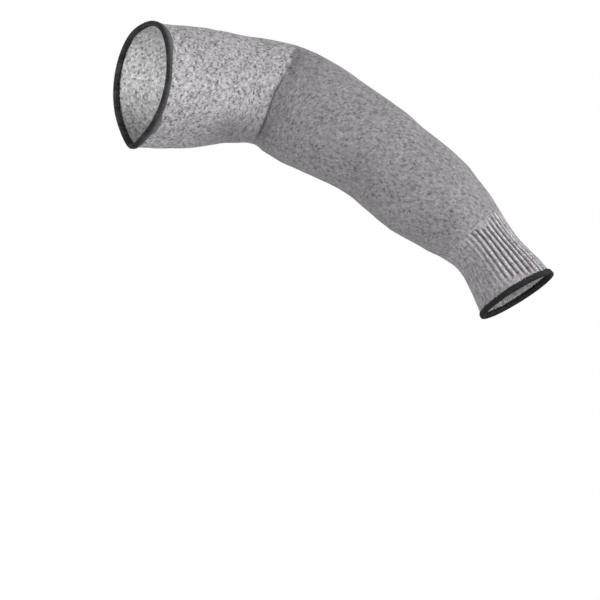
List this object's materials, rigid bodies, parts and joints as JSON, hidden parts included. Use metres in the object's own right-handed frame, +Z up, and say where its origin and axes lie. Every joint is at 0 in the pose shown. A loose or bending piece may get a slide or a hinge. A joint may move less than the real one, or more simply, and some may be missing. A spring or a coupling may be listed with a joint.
{
  "type": "cut resistant sleeve",
  "caption": "Knitted cut resistant arm sleeve, worn bent at the elbow: a hollow grey tube with a ribbed cuff at the wrist and a black overlocked edge round each opening.",
  "frame": {"origin": "middle of the hollow at the elbow, where the wearer's elbow sits", "axes": "+X from the upper arm opening towards the wrist, +Z up, -Y towards the viewer of the picture"},
  "size_m": [0.3679, 0.1449, 0.2439],
  "materials": {
    "grey_knit": "plain knit in mottled grey yarn, matt",
    "grey_rib": "rib knit in mottled grey yarn, matt",
    "black_edging": "overlocked black thread, faint sheen"
  },
  "bodies": {
    "root": {"knit_body": "grey_knit", "rib_cuff": "grey_rib", "upper_edging": "black_edging", "wrist_edging": "black_edging"}
  },
  "joints": []
}
